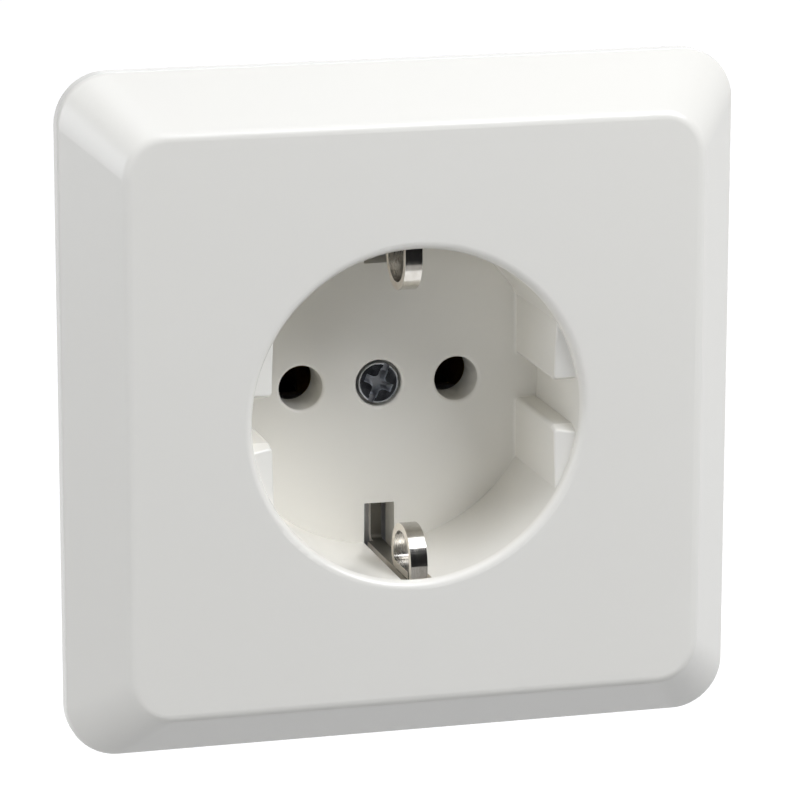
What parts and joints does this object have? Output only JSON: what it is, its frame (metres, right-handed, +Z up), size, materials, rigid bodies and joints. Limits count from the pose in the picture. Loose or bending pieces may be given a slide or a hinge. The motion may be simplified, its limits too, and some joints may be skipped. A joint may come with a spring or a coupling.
{
  "type": "earthed flush wall socket",
  "caption": "Flush wall socket with a square bevelled cover, a deep round well, round pin holes, a centre screw and sprung side earth contacts, on a screw-terminal insert.",
  "frame": {"origin": "on the wall's face, in the middle of the square cover", "axes": "-Y into the room, +Y into the wall box, +Z up, +X to the right seen from the room"},
  "size_m": [0.08, 0.042, 0.08],
  "materials": {
    "cover_white": "satin moulded thermoplastic",
    "screw_zinc": "zinc-plated steel",
    "earth_strip": "nickel-plated bronze strip with bare cut edges",
    "ring_steel": "galvanised steel sheet",
    "base_dark": "matt thermoset moulding",
    "lid_grey": "matt moulded plate",
    "contact_brass": "bright brass strip",
    "clip_steel": "spring steel",
    "clamp_steel": "zinc-plated steel"
  },
  "bodies": {
    "root": {"cover_plate": "cover_white", "cover_screw": "screw_zinc", "screw_retainer": "clamp_steel", "earth_bridge": "earth_strip", "bridge_bush": "contact_brass", "support_ring": "ring_steel", "base_moulding": "base_dark", "contact_cover": "lid_grey", "bridge_rivets": "clamp_steel", "line_contact": "contact_brass", "neutral_contact": "contact_brass", "line_spring_clip": "clip_steel", "neutral_spring_clip": "clip_steel", "line_terminal_bar": "contact_brass", "neutral_terminal_bar": "contact_brass", "line_clamp_upper": "clamp_steel", "line_clamp_lower": "clamp_steel", "neutral_clamp_upper": "clamp_steel", "neutral_clamp_lower": "clamp_steel", "earth_clamp": "clamp_steel", "contact_rivets": "contact_brass", "terminal_screws": "clamp_steel"}
  },
  "joints": []
}
